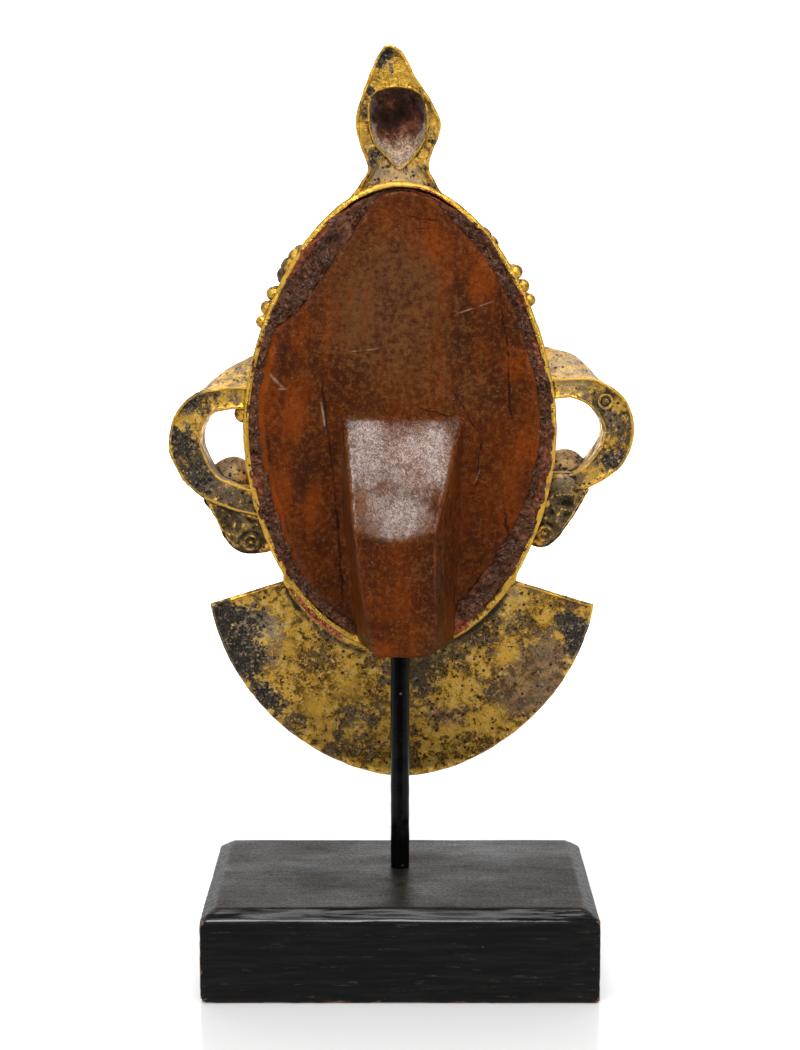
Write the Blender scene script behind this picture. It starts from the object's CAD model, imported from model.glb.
import math
import bmesh
import bpy
import numpy as np
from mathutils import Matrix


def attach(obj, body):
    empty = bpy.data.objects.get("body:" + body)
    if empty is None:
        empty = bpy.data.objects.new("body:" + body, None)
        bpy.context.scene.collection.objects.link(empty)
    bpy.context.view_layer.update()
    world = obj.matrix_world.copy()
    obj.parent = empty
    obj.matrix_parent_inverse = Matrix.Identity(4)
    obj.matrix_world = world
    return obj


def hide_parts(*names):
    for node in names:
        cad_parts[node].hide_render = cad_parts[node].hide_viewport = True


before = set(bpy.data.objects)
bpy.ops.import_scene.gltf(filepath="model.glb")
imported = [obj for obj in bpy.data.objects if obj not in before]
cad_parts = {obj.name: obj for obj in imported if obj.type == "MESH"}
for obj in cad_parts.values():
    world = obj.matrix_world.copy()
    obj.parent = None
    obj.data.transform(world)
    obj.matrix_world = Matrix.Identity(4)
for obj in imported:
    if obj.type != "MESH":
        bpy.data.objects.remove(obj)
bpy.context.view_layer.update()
print("frame loaded")

metre = 0.001  # shapes are worked out in millimetres and stored in metres


# Numbers and curves

def mix(a, b, t):
    return a + (b - a) * t


def ease(low, high, value):
    t = np.clip((value - low) / (high - low), 0, 1)
    return t * t * (3 - 2 * t)


def bell(value, middle, spread):
    return np.exp(-(((value - middle) / spread) ** 2))


def ripple(points, size, seed):
    # smooth noise of about -1 to 1: a sum of sine waves in random directions, near the given wavelength
    draw = np.random.default_rng(seed)
    directions = draw.normal(size=(28, 3))
    directions /= np.linalg.norm(directions, axis=1, keepdims=True)
    lengths = size * draw.uniform(0.7, 1.7, 28)
    phases = draw.uniform(0, 2 * math.pi, 28)
    waves = points @ (directions * (2 * math.pi / lengths)[:, None]).T + phases
    return np.sin(waves).sum(-1) / 6.5


def splined(corners, per, closed=True):
    # Catmull-Rom curve through the corners, per steps from one to the next; leading axes are kept
    corners = np.asarray(corners, float)
    if closed:
        before, here = np.roll(corners, 1, -2), corners
        after, later = np.roll(corners, -1, -2), np.roll(corners, -2, -2)
    else:
        first = 2 * corners[..., :1, :] - corners[..., 1:2, :]
        last = 2 * corners[..., -1:, :] - corners[..., -2:-1, :]
        padded = np.concatenate([first, corners, last], -2)
        before, here = padded[..., :-3, :], padded[..., 1:-2, :]
        after, later = padded[..., 2:-1, :], padded[..., 3:, :]
    t = np.linspace(0, 1, per, endpoint=False)[:, None]
    before, here, after, later = (part[..., None, :] for part in (before, here, after, later))
    curve = 0.5 * (2 * here + (after - before) * t + (2 * before - 5 * here + 4 * after - later) * t**2
                   + (3 * here - before - 3 * after + later) * t**3)
    curve = curve.reshape(*corners.shape[:-2], -1, corners.shape[-1])
    return curve if closed else np.concatenate([curve, corners[..., -1:, :]], -2)


def evenly(curve, steps, closed=True):
    # the curve walked in equal steps of its first two columns
    whole = np.vstack([curve, curve[:1]]) if closed else curve
    walked = np.concatenate([[0], np.cumsum(np.linalg.norm(np.diff(whole[:, :2], axis=0), axis=1))])
    places = np.linspace(0, walked[-1], steps, endpoint=not closed)
    return np.column_stack([np.interp(places, walked, whole[:, k]) for k in range(whole.shape[1])])


def turns(steps):
    # angles in equal steps, once round
    return np.linspace(0, 2 * math.pi, steps, endpoint=False)


def shifted(outline, inset):
    # a closed outline moved inwards along its own normals
    run = np.roll(outline, -1, 0) - np.roll(outline, 1, 0)
    normal = np.column_stack([-run[:, 1], run[:, 0]]) / np.linalg.norm(run, axis=1)[:, None]
    area = np.sum(outline[:, 0] * np.roll(outline[:, 1], -1) - np.roll(outline[:, 0], -1) * outline[:, 1])
    return outline + normal * (np.sign(area) * np.reshape(inset, (-1, 1)))


# Meshes

def newObject(name, points, faces):
    mesh = bpy.data.meshes.new(name)
    mesh.from_pydata((np.asarray(points) * metre).tolist(), [], faces)
    shaped = bmesh.new()
    shaped.from_mesh(mesh)
    bmesh.ops.recalc_face_normals(shaped, faces=shaped.faces)
    shaped.to_mesh(mesh)
    shaped.free()
    made = bpy.data.objects.new(name, mesh)
    bpy.context.scene.collection.objects.link(made)
    return made


def skinFaces(rows, columns, start=0):
    # quads between neighbouring rings, and a fan at each end onto a middle point that follows the rings
    index = start + np.arange(rows * columns).reshape(rows, columns)
    turned = np.roll(index, -1, 1)
    faces = np.stack([index[:-1], turned[:-1], turned[1:], index[1:]], -1).reshape(-1, 4).tolist()
    first, last = start + rows * columns, start + rows * columns + 1
    faces += np.column_stack([index[0], turned[0], np.full(columns, first)]).tolist()
    faces += np.column_stack([turned[-1], index[-1], np.full(columns, last)]).tolist()
    return faces


def manyBodies(name, bodies):
    # rings of points, skinned into closed bodies: bodies has shape (count, rows, columns, 3)
    count, rows, columns = bodies.shape[:3]
    ends = np.stack([bodies[:, 0].mean(1), bodies[:, -1].mean(1)], 1)
    points = np.concatenate([bodies.reshape(count, -1, 3), ends], 1)
    step = rows * columns + 2
    faces = [face for k in range(count) for face in skinFaces(rows, columns, k * step)]
    return newObject(name, points.reshape(-1, 3), faces)


def skinned(name, rings):
    return manyBodies(name, rings[None])


def wrapped(name, rings):
    # rings of points joined all round, the last ring to the first again
    rows, columns = rings.shape[:2]
    index = np.arange(rows * columns).reshape(rows, columns)
    down, turned = np.roll(index, -1, 0), np.roll(index, -1, 1)
    faces = np.stack([index, turned, np.roll(down, -1, 1), down], -1).reshape(-1, 4).tolist()
    return newObject(name, rings.reshape(-1, 3), faces)


def applyModifiers(made):
    graph = bpy.context.evaluated_depsgraph_get()
    finished = bpy.data.meshes.new_from_object(made.evaluated_get(graph))
    old = made.data
    made.modifiers.clear()
    made.data = finished
    bpy.data.meshes.remove(old)


def fuse(made, others, operation="UNION"):
    for other in others:
        step = made.modifiers.new("fuse", "BOOLEAN")
        step.operation = operation
        step.solver = "MANIFOLD"
        step.object = other
    applyModifiers(made)
    for other in others:
        bpy.data.objects.remove(other)


def evenCells(made, size):
    # one skin of small even faces in place of the mesh
    step = made.modifiers.new("even", "REMESH")
    step.mode = "VOXEL"
    step.voxel_size = size * metre
    applyModifiers(made)


def readAll(items, key, width, kind=np.float32):
    values = np.empty(len(items) * width, kind)
    items.foreach_get(key, values)
    return values.reshape(-1, width)


def readPoints(mesh):
    return readAll(mesh.vertices, "co", 3).astype(float) / metre


def readNormals(mesh):
    return readAll(mesh.vertex_normals, "vector", 3).astype(float)


def readEdges(mesh):
    return readAll(mesh.edges, "vertices", 2, np.int32)


def writePoints(mesh, points):
    mesh.vertices.foreach_set("co", (points * metre).astype(np.float32).ravel())
    mesh.update()


def spread(values, edges, times):
    # each point takes the mean of itself and its neighbours, again and again
    count = len(values)
    links = np.bincount(edges.ravel(), minlength=count) + 1
    for _ in range(times):
        total = np.bincount(edges[:, 0], values[edges[:, 1]], count)
        total += np.bincount(edges[:, 1], values[edges[:, 0]], count)
        values = (values + total) / links
    return values


def bend(mesh, times):
    # how much the surface bends at each point, in 1/mm: above 0 on ridges and below 0 in hollows
    points, normals, edges = readPoints(mesh), readNormals(mesh), readEdges(mesh)
    along = points[edges[:, 1]] - points[edges[:, 0]]
    length = np.maximum((along**2).sum(1), 0.01)
    fall = [-(along * normals[edges[:, 0]]).sum(1) / length, (along * normals[edges[:, 1]]).sum(1) / length]
    count = len(points)
    total = np.bincount(edges[:, 0], fall[0], count) + np.bincount(edges[:, 1], fall[1], count)
    return spread(total / np.maximum(np.bincount(edges.ravel(), minlength=count), 1), edges, times)


def keepValues(mesh, name, values):
    # a value from 0 to 1 at each point, for the materials
    layer = mesh.attributes.new(name, "FLOAT", "POINT")
    layer.data.foreach_set("value", np.clip(values, 0, 1).astype(np.float32))


def roundShading(mesh, sharpAngle):
    mesh.shade_smooth()
    mesh.set_sharp_from_angle(angle=math.radians(sharpAngle))


# Shape of the mask: the formulas of the solids, and nearly their sizes

oval = {
    "centreZ": 223, "halfWidth": 66.3, "backY": -26, "wall": 2.3,
    "upHeight": 103, "upRise": 1.7, "upSide": 1.9,
    "downHeight": 95, "downRise": 1.85, "downSide": 2.15,
}
dome = {
    "depth": 48.1, "flat": 2.5, "round": 2.1, "castThickness": 2.8, "gridSteps": 146, "hollowSteps": 52,
}
face = {
    "hairZ": 264, "browZ": 229, "eyeZ": 216, "noseZ": 188, "mouthZ": 171, "chinZ": 150,
    "eyeX": 25, "noseProud": 13, "browProud": 3.2, "lipProud": 5.2, "chinProud": 5.5,
}


def farthest(inside, low):
    # the greatest distance, up to 200 mm, at which inside(distance) still holds, found by halving
    high = np.full_like(low, 200.0)
    for _ in range(36):
        middle = (low + high) / 2
        held = inside(middle)
        low, high = np.where(held, middle, low), np.where(held, high, middle)
    return low


def ovalReach(angle, inset=0.0):
    # distance from the oval's middle where (x/W)^side + (z/H)^rise comes to 1
    up = np.sin(angle) > 0
    side = np.where(up, oval["upSide"], oval["downSide"])
    rise = np.where(up, oval["upRise"], oval["downRise"])
    across = np.abs(np.cos(angle)) / (oval["halfWidth"] - inset)
    along = np.abs(np.sin(angle)) / (np.where(up, oval["upHeight"], oval["downHeight"]) - inset)
    return farthest(lambda out: (out * across) ** side + (out * along) ** rise < 1, np.zeros_like(across))


def insetOf(points):
    # how far inside the oval's edge each point lies, seen from behind
    x, z = points[:, 0], points[:, 2] - oval["centreZ"]
    return ovalReach(np.arctan2(z, x)) - np.hypot(x, z)


def ovalHalfWidth(z):
    up = z > oval["centreZ"]
    height = np.where(up, oval["upHeight"], oval["downHeight"])
    rise = np.where(up, oval["upRise"], oval["downRise"])
    side = np.where(up, oval["upSide"], oval["downSide"])
    t = np.minimum(1, np.abs(z - oval["centreZ"]) / height)
    return oval["halfWidth"] * (1 - t**rise) ** (1 / side)


def domeDepth(share):
    return dome["depth"] * np.maximum(0, 1 - share ** dome["flat"]) ** (1 / dome["round"])


def featureDepth(x, z):
    # what the face's features add in front of the plain dome
    out = np.abs(x)
    fromEye = out - face["eyeX"]
    browLine = face["browZ"] + 7 * np.sin(math.pi * np.clip((out - 3) / 50, 0, 1))
    brow = face["browProud"] * bell(z, browLine, 3.6) * ease(1, 8, out) * (1 - ease(40, 54, out))
    socket = -4.2 * bell(out, face["eyeX"], 15) * bell(z, face["eyeZ"] + 1, 9)
    eyeball = 6.6 * bell(out, face["eyeX"], 12.5) * bell(z, face["eyeZ"] - 1.2, 6.4)
    lidLine = face["eyeZ"] - 4.6 + 0.016 * fromEye**2
    lidCut = -2.8 * bell(z, lidLine, 1.4) * bell(out, face["eyeX"], 12)
    foldCut = -1.8 * bell(z, face["eyeZ"] + 6.4 - 0.014 * fromEye**2, 1.6) * bell(out, face["eyeX"], 13)
    down = np.clip((face["browZ"] - z) / (face["browZ"] - face["noseZ"]), 0, 1)
    noseLength = ease(face["noseZ"] - 6.5, face["noseZ"] + 3.5, z)
    noseLength = noseLength * (1 - ease(face["browZ"] - 2, face["browZ"] + 12, z))
    nose = mix(3.5, face["noseProud"] - 1.5, down) * bell(out, 0, mix(4.8, 7.4, down)) * noseLength
    tip = 2.6 * bell(out, 0, 5.6) * bell(z, face["noseZ"] + 4.5, 5)
    wings = 5.2 * bell(out, 8.2, 4.8) * bell(z, face["noseZ"] + 3, 4.4)
    mouth = bell(out, 0, 16) * np.where(out < 21, 1, bell(out, 21, 3))
    bow = face["mouthZ"] + 3.4 + 0.9 * bell(out, 5, 3.5) - 0.05 * out
    lips = bell(z, bow, 3.0) + 1.15 * bell(z, face["mouthZ"] - 4.2, 3.7)
    lips = mouth * (face["lipProud"] * 0.85 * lips - 1.5 * bell(z, face["mouthZ"] + 0.04 * out, 1.6))
    corner = -1.4 * bell(out, 20, 3) * bell(z, face["mouthZ"] + 0.8, 3)
    philtrum = -0.7 * bell(out, 0, 2.4) * bell(z, face["noseZ"] - 7, 3)
    chin = face["chinProud"] * bell(out, 0, 15) * bell(z, face["chinZ"], 10)
    underLip = -2.0 * bell(out, 0, 12) * bell(z, face["mouthZ"] - 11, 3.6)
    cheek = 3 * bell(out, 33, 17) * bell(z, face["noseZ"] + 3, 19)
    fold = -0.9 * bell(out, 17 + 0.35 * (face["noseZ"] - z), 3) * ease(170, 180, z) * ease(194, 186, z)
    cap = 2.2 * ease(face["hairZ"] - 2, face["hairZ"] + 3, z - diadem["tilt"] * x)
    eyes = socket + eyeball + lidCut + foldCut
    return brow + eyes + nose + tip + wings + lips + corner + philtrum + chin + underLip + cheek + fold + cap


def fineRelief(x, z):
    # combed hair above the beads: grooves that run together at the finial
    fan = np.arctan2(x, np.maximum(8, 352 - z))
    wave = np.cos(fan * 74 + 1.1 * np.sin(z / 11))
    hair = 0.75 * wave * ease(289, 295, z - diadem["tilt"] * x)
    lash = -0.4 * bell(z, face["eyeZ"] + 4.2 - 0.011 * (np.abs(x) - face["eyeX"]) ** 2, 1.4)
    lash = lash * bell(np.abs(x), face["eyeX"], 12)
    return hair + lash


def domeFrontY(x, z, fine=0.0):
    angle = np.arctan2(z - oval["centreZ"], x)
    share = np.minimum(1, np.hypot(x, z - oval["centreZ"]) / ovalReach(angle))
    fade = 1 - ease(0.8, 1, share)
    return oval["backY"] - domeDepth(share) - (featureDepth(x, z) + fine * fineRelief(x, z)) * fade


def domeBody(name, steps, inset, thinner, features, fine, backY):
    # a square grid drawn into a disc, then out to the oval; y falls by the dome's depth and the features,
    # and a straight skirt goes from the oval back to backY
    u, v = np.meshgrid(np.linspace(-1, 1, steps + 1), np.linspace(-1, 1, steps + 1))
    discX, discZ = u * np.sqrt(1 - v**2 / 2), v * np.sqrt(1 - u**2 / 2)
    out = np.minimum(1, np.hypot(discX, discZ))
    share = np.minimum(1, out + 0.25 * out * (1 - out**2))
    angle = np.arctan2(discZ, discX)
    reach = share * ovalReach(angle, inset)
    x, z = reach * np.cos(angle), oval["centreZ"] + reach * np.sin(angle)
    fade = 1 - ease(0.8, 1, share)
    depth = domeDepth(share) * (1 - thinner / dome["depth"])
    depth = depth + (features * featureDepth(x, z) + fine * fineRelief(x, z)) * fade
    grid = np.stack([x, np.minimum(oval["backY"] - depth, backY - 0.3), z], -1).reshape(-1, 3)
    index = np.arange((steps + 1) ** 2).reshape(steps + 1, steps + 1)
    quads = np.stack([index[:-1, :-1], index[:-1, 1:], index[1:, 1:], index[1:, :-1]], -1)
    faces = quads.reshape(-1, 4).tolist()
    edge = np.concatenate([index[0, :-1], index[:-1, -1], index[-1, :0:-1], index[:0:-1, 0]])
    skirt = grid[edge] * [1, 0, 1] + [0, backY, 0]
    first = len(grid)
    skirtIndex = first + np.arange(len(edge))
    faces += np.column_stack([np.roll(edge, -1), edge, skirtIndex, np.roll(skirtIndex, -1)]).tolist()
    middle = np.full(len(edge), first + len(edge))
    faces += np.column_stack([np.roll(skirtIndex, -1), skirtIndex, middle]).tolist()
    return newObject(name, np.vstack([grid, skirt, [[0, backY, oval["centreZ"]]]]), faces)


# The brass casting's pieces, fused into one body afterwards

lip = {
    "rows": 440, "columns": 18, "topWidth": 4.6, "sideWidth": 3.6, "height": 2.6, "wander": 0.35,
    "lowOut": 1.0, "leftOut": 2.0, "lowIn": 3.4, "spur": 1.5,
}


def lipOut(x, z):
    # how far the lip stands outside the oval: more below, most at the lower left, with two small spurs
    low = lip["lowOut"] + lip["leftOut"] * ease(-8, 14, x)
    return 0.15 + low * ease(161, 153, z) + lip["spur"] * bell(z, 158.5, 1.7)


def ovalLip():
    # a rounded bead of metal carried round the oval's edge, wider at the top and below
    turn = turns(lip["rows"])
    ring = np.stack([np.cos(turn) * 60, np.zeros_like(turn), np.sin(turn) * 90], -1)
    wander = lip["wander"] * ripple(ring, 26, 11) + 0.14 * ripple(ring, 6, 12)
    level = oval["centreZ"] + ovalReach(turn) * np.sin(turn)
    high, low = ease(290, 312, level), ease(161, 153, level)
    out = lipOut(ovalReach(turn) * np.cos(turn), level)
    plainWidth = mix(lip["sideWidth"], lip["topWidth"], high)
    width = mix(plainWidth, lip["lowIn"] + out, low) + 0.25 * ripple(ring, 15, 13)
    reach = ovalReach(turn) + out + 0.4 * wander
    around = turns(lip["columns"])
    across = np.sign(np.cos(around)) * np.abs(np.cos(around)) ** 0.8
    up = np.sign(np.sin(around)) * np.abs(np.sin(around)) ** 0.8
    radial = reach[:, None] - width[:, None] / 2 * (1 - across)
    y = oval["backY"] - lip["height"] + (lip["height"] - 0.1) * up + 0.12 * wander[:, None]
    y = y - 0.7 * low[:, None] * bell(across, 0, 0.45) * (up > 0)
    x = radial * np.cos(turn)[:, None]
    z = oval["centreZ"] + radial * np.sin(turn)[:, None]
    return wrapped("lip", np.stack([x, np.minimum(y, oval["backY"]), z], -1))


diadem = {
    "middleZ": 282.6, "tilt": -0.083, "droop": 0.0016, "rowPitch": 5.9, "beadsInRow": 27,
    "radius": 3.3, "proud": 0.8,
}


def beadBodies(name, centres, radius, seed, squash=1.0):
    # small globes at the centres, each a little different in size
    draw = np.random.default_rng(seed)
    sizes = radius * draw.uniform(0.9, 1.08, len(centres))
    polar = np.linspace(0.12, math.pi - 0.12, 7)
    turn = turns(10)
    globe = np.stack([
        np.sin(polar)[:, None] * np.cos(turn), np.cos(polar)[:, None] * squash + 0 * turn,
        np.sin(polar)[:, None] * np.sin(turn),
    ], -1)
    return manyBodies(name, centres[:, None, None, :] + globe * sizes[:, None, None, None])


def diademRow(row):
    # a line over the brow on the shell, from temple to temple, with equal steps between its beads
    turn = np.radians(84) * np.linspace(-1, 1, 161)
    guessX = 55 * np.sin(turn)
    rise = (1 - row) * diadem["rowPitch"]
    z = diadem["middleZ"] + rise + diadem["tilt"] * guessX - diadem["droop"] * guessX**2
    x = ovalHalfWidth(z) * np.sin(turn)
    y = domeFrontY(x, z) - diadem["proud"] * np.cos(turn)
    line = np.column_stack([x + diadem["proud"] * np.sin(turn), y, z])
    return evenly(line, diadem["beadsInRow"], closed=False)


rosettes = {"radius": 9.5, "height": 4, "petals": 8, "places": [(0, 307), (45, 291), (-35, 300)]}


def rosette(x, z):
    # a petalled boss, square on the shell: its reach swells with the petals and its rise follows rings
    slopeX = (domeFrontY(x + 2, z) - domeFrontY(x - 2, z)) / 4
    slopeZ = (domeFrontY(x, z + 2) - domeFrontY(x, z - 2)) / 4
    normal = np.array([slopeX, -1, slopeZ], float)
    normal /= np.linalg.norm(normal)
    side = np.cross(normal, [0, 0, 1])
    side /= np.linalg.norm(side)
    up = np.cross(side, normal)
    profile = splined([[-4, 1], [0, 1], [1.5, 1], [2.7, 0.88], [3.1, 0.7], [1.9, 0.46], [1.7, 0.4],
                       [3, 0.3], [rosettes["height"], 0.04]], 3, closed=False)
    turn = turns(64)
    petal = np.abs(np.cos(turn * rosettes["petals"] / 2))
    share = profile[:, 1:2] * (1 - 0.12 * (1 - petal) * ease(0.4, 0.8, profile[:, 1:2]))
    rise = profile[:, :1] - 0.9 * bell(petal, 0, 0.25) * bell(profile[:, 1:2], 0.72, 0.2)
    reach = rosettes["radius"] * share
    origin = np.array([x, domeFrontY(x, z), z], float)
    rings = origin + (reach * np.cos(turn))[..., None] * side + (reach * np.sin(turn))[..., None] * up
    return skinned("rosette", rings + rise[..., None] * normal)


ears = {
    "backY": -27, "frontY": -48, "plugY": -46, "plugDeep": 9, "boss": (-86.6, 234.0, 3.4),
    "knob": (66.5, -31.5, 228.5), "knobRadius": 4.0, "pendantBackY": -28.6, "pendantFrontY": -43,
    "bandSteps": 124, "pendantSteps": 92,
    "left": {
        "path": [
            [50, 238, 5, 10, 0], [63, 236, 5, 11, 0], [72, 235.6, 4.8, 7, 0], [82, 233.2, 5.6, 0, 0],
            [89, 225.8, 6.8, -2.2, 0], [90.8, 216, 7.2, -2, 0], [87.2, 205.6, 6.8, 0, 0],
            [80.5, 198, 5.8, 0, 0], [71, 193.6, 5.4, 0, 0], [60, 190.4, 5.4, 0, 0.6], [50, 188, 5, 0, 1],
        ],
        "plug": (72, 198.5, 10.6),
        "pendant": [
            [83.2, 193], [80.6, 187], [77.7, 181], [74.2, 174], [68.5, 169.3], [61, 168.6], [54, 170.5],
            [52, 180], [55, 193], [68, 198],
        ],
        "eye": (63.4, 173.8),
        "ridges": [
            [(80, 190), (73.5, 187), (70.5, 181.5), (69.5, 175), (65, 170.8)], [(79.5, 186), (76, 179)],
            [(72, 191), (66, 186), (60, 184)],
        ],
        "hollow": (74.3, 181.5, 2.6, 5),
    },
    "right": {
        "path": [
            [-50, 241, 4.6, 11, 0], [-63, 239.6, 4.6, 12, 0], [-73, 240, 4.8, 8, 0],
            [-82, 237.6, 6.2, 0, 0], [-89, 231.8, 7, -2.4, 0], [-92.4, 223.4, 6.8, -2.2, 0],
            [-91, 214.4, 6.5, -1.5, 0], [-85.4, 206.8, 5.8, 0, 0], [-78.5, 201.6, 4.6, 0, 0.4],
            [-68, 197.8, 3.6, 0, 5], [-50, 193, 3.6, 0, 6],
        ],
        "plug": (-70.5, 202, 10.6),
        "pendant": [
            [-80.5, 197.5], [-78.6, 192.4], [-75.6, 187.2], [-72, 181.4], [-67.2, 175.2], [-61.9, 171.4],
            [-55, 173], [-51, 182], [-54, 199], [-64, 203.4], [-74.5, 203],
        ],
        "eye": (-61.6, 177.6),
        "ridges": [
            [(-79, 193.5), (-72, 194.8), (-65, 194), (-62, 190)], [(-75, 186), (-69, 188.5), (-66, 185)],
            [(-70, 180), (-66, 183)],
        ],
        "hollow": (-70.5, 191, 3, 2),
    },
}


def earBand(name, ear):
    # a section with two raised lips behind and a grooved front, carried along the ear's path
    path = evenly(splined(ear["path"], 16, closed=False), ears["bandSteps"], closed=False)
    run = np.gradient(path[:, :2], axis=0)
    run /= np.linalg.norm(run, axis=1)[:, None]
    outwards = np.column_stack([-run[:, 1], run[:, 0]]) * np.sign(path[0, 0])
    half, flare = path[:, 2], path[:, 3]
    back, front = ears["backY"] - np.maximum(path[:, 4], 0), ears["frontY"]
    corners = [
        (-half, back - 11), (-half, back - 4), (-half, back - 1.2), (-half + 0.35, back - 0.1),
        (-half + 1.1, back), (-half + 1.9, back - 0.7), (0 * half, back - 1.0), (half - 2.0, back - 0.8),
        (half - 1.4, back), (half - 0.4, back - 0.1), (half, back - 1.2), (half + 0.12 * flare, back - 4),
        (half + 0.6 * flare, back - 11), (half + flare, front + 3), (half + flare - 1.2, front + 0.2),
        (half + flare - 3.4, front + 0.6), (0.4 * half + 0.3 * flare, front + 2.6),
        (-half + 2.6, front + 0.4), (-half + 0.6, front + 0.8), (-half, front + 4),
    ]
    section = np.stack([np.stack([across, y + 0 * half], -1) for across, y in corners], 1)
    section = splined(section, 2)
    x = path[:, :1] + section[..., 0] * outwards[:, :1]
    z = path[:, 1:2] + section[..., 0] * outwards[:, 1:]
    rings = np.stack([x, section[..., 1], z], -1)
    rings[..., 0] += 0.3 * ripple(rings, 17, 21)
    rings[..., 2] += 0.3 * ripple(rings, 17, 22)
    return skinned(name, rings)


def earPlug(name, ear):
    # a low globe with petals on its front
    x, z, radius = ear["plug"]
    profile = splined([[-0.95, 0.06], [-0.86, 0.5], [-0.3, 0.95], [0.4, 0.92], [0.72, 0.62], [0.62, 0.42],
                       [0.86, 0.26], [0.95, 0.05]], 5, closed=False)
    turn = turns(72)
    petal = np.abs(np.cos(turn * 4))
    rise = profile[:, :1] - 0.1 * (1 - petal) * bell(profile[:, 1:2], 0.75, 0.22) * (profile[:, :1] > 0)
    reach = radius * profile[:, 1:2]
    rings = np.stack([x + reach * np.cos(turn), ears["plugY"] - rise * ears["plugDeep"] + 0 * reach,
                      z + reach * np.sin(turn)], -1)
    rings += 0.25 * ripple(rings, 9, 23)[..., None]
    return skinned(name, rings)


def ringBoss(name, x, z, radius):
    # a small ring with a dot in it, standing on the back of the band
    profile = splined([[-3, 1], [0.2, 1], [0.7, 0.85], [0.5, 0.66], [-0.1, 0.5], [0.3, 0.34], [0.6, 0.05]], 3,
                      closed=False)
    turn = turns(28)
    reach = radius * profile[:, 1:2]
    y = ears["backY"] - 0.8 + profile[:, :1] + 0 * turn
    return skinned(name, np.stack([x + reach * np.cos(turn), y, z + reach * np.sin(turn)], -1))


def lineDistance(x, z, line):
    # distance from each place to the nearest stretch of a line of corners
    nearest = np.full(np.shape(x), 1e9)
    for (x0, z0), (x1, z1) in zip(line[:-1], line[1:]):
        length = (x1 - x0) ** 2 + (z1 - z0) ** 2
        t = np.clip(((x - x0) * (x1 - x0) + (z - z0) * (z1 - z0)) / length, 0, 1)
        nearest = np.minimum(nearest, np.hypot(x - x0 - t * (x1 - x0), z - z0 - t * (z1 - z0)))
    return nearest


def earPendant(name, ear):
    # a cushion over its outline; the back carries a ring with a dot, a ridge, a hollow and a rough cast skin
    outline = evenly(splined(ear["pendant"], 12), ears["pendantSteps"])
    middle = outline.mean(0)
    back, front = ears["pendantBackY"], ears["pendantFrontY"]
    sideProfile = splined([[back, 0.86], [back - 1.6, 0.97], [back - 4, 1], [front + 5, 1],
                           [front + 1.5, 0.93], [front, 0.8]], 3, closed=False)
    shares = np.concatenate([np.linspace(0.03, 0.84, 24), sideProfile[:, 1], np.linspace(0.76, 0.03, 16)])
    levels = np.concatenate([np.full(24, back), sideProfile[:, 0], np.full(16, front)])
    flat = middle + (outline - middle) * shares[:, None, None]
    x, z = flat[..., 0], flat[..., 1]
    eyeX, eyeZ = ear["eye"]
    fromEye = np.hypot(x - eyeX, z - eyeZ)
    hollowX, hollowZ, hollowWide, hollowHigh = ear["hollow"]
    relief = 1.2 * bell(fromEye, 2.9, 0.8) - 1.3 * bell(fromEye, 4.4, 0.8) + 1.2 * bell(fromEye, 0, 1.1)
    relief = relief - 0.9 * bell(fromEye, 1.7, 0.6)
    for ridge in ear["ridges"]:
        relief = relief + 1.3 * bell(lineDistance(x, z, ridge), 0, 1.1)
    relief = relief - 2.4 * bell(x, hollowX, hollowWide) * bell(z, hollowZ, hollowHigh)
    rough = np.stack([x, 0 * x, z], -1)
    skin = 0.7 * ripple(rough, 5, 31) + 0.4 * ripple(rough, 2.4, 32)
    relief = relief + skin * (1 - 0.85 * bell(fromEye, 0, 5))
    swell = 1.6 * (1 - shares[:, None] ** 2)
    isBack = np.arange(len(shares))[:, None] < 24 + 4
    y = levels[:, None] + np.where(isBack, relief - 1 + swell * 0.4, -swell - 0.6 * relief)
    return skinned(name, np.stack([x, np.minimum(y, back + 1.2), z], -1))


finial = {
    "backY": -29, "recessDeep": 12, "steps": 220, "recessSteps": 120,
    "outline": [
        [4.2, 382], [8.6, 378.6], [14.6, 365], [18.6, 351], [16.2, 339.5], [13.4, 331], [16.8, 324.5],
        [21, 314], [-18.5, 314], [-15.2, 324.5], [-12.2, 331.5], [-13.9, 338.2], [-16.3, 343.8],
        [-17.2, 349.4], [-15.5, 355], [-11.5, 361.4], [-6.8, 368.6], [-1.8, 378],
    ],
    "recess": [
        [0.6, 364.8], [9.4, 363], [12.5, 358], [12.6, 350], [10.2, 341.5], [5, 336], [0.6, 331.4],
        [-3.9, 334.5], [-8.6, 340.7], [-11.2, 348], [-10.6, 357], [-7.6, 362.4],
    ],
}


def flatRing(outline, y):
    return np.stack([outline[:, 0], np.broadcast_to(y, len(outline)), outline[:, 1]], -1)


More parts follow.
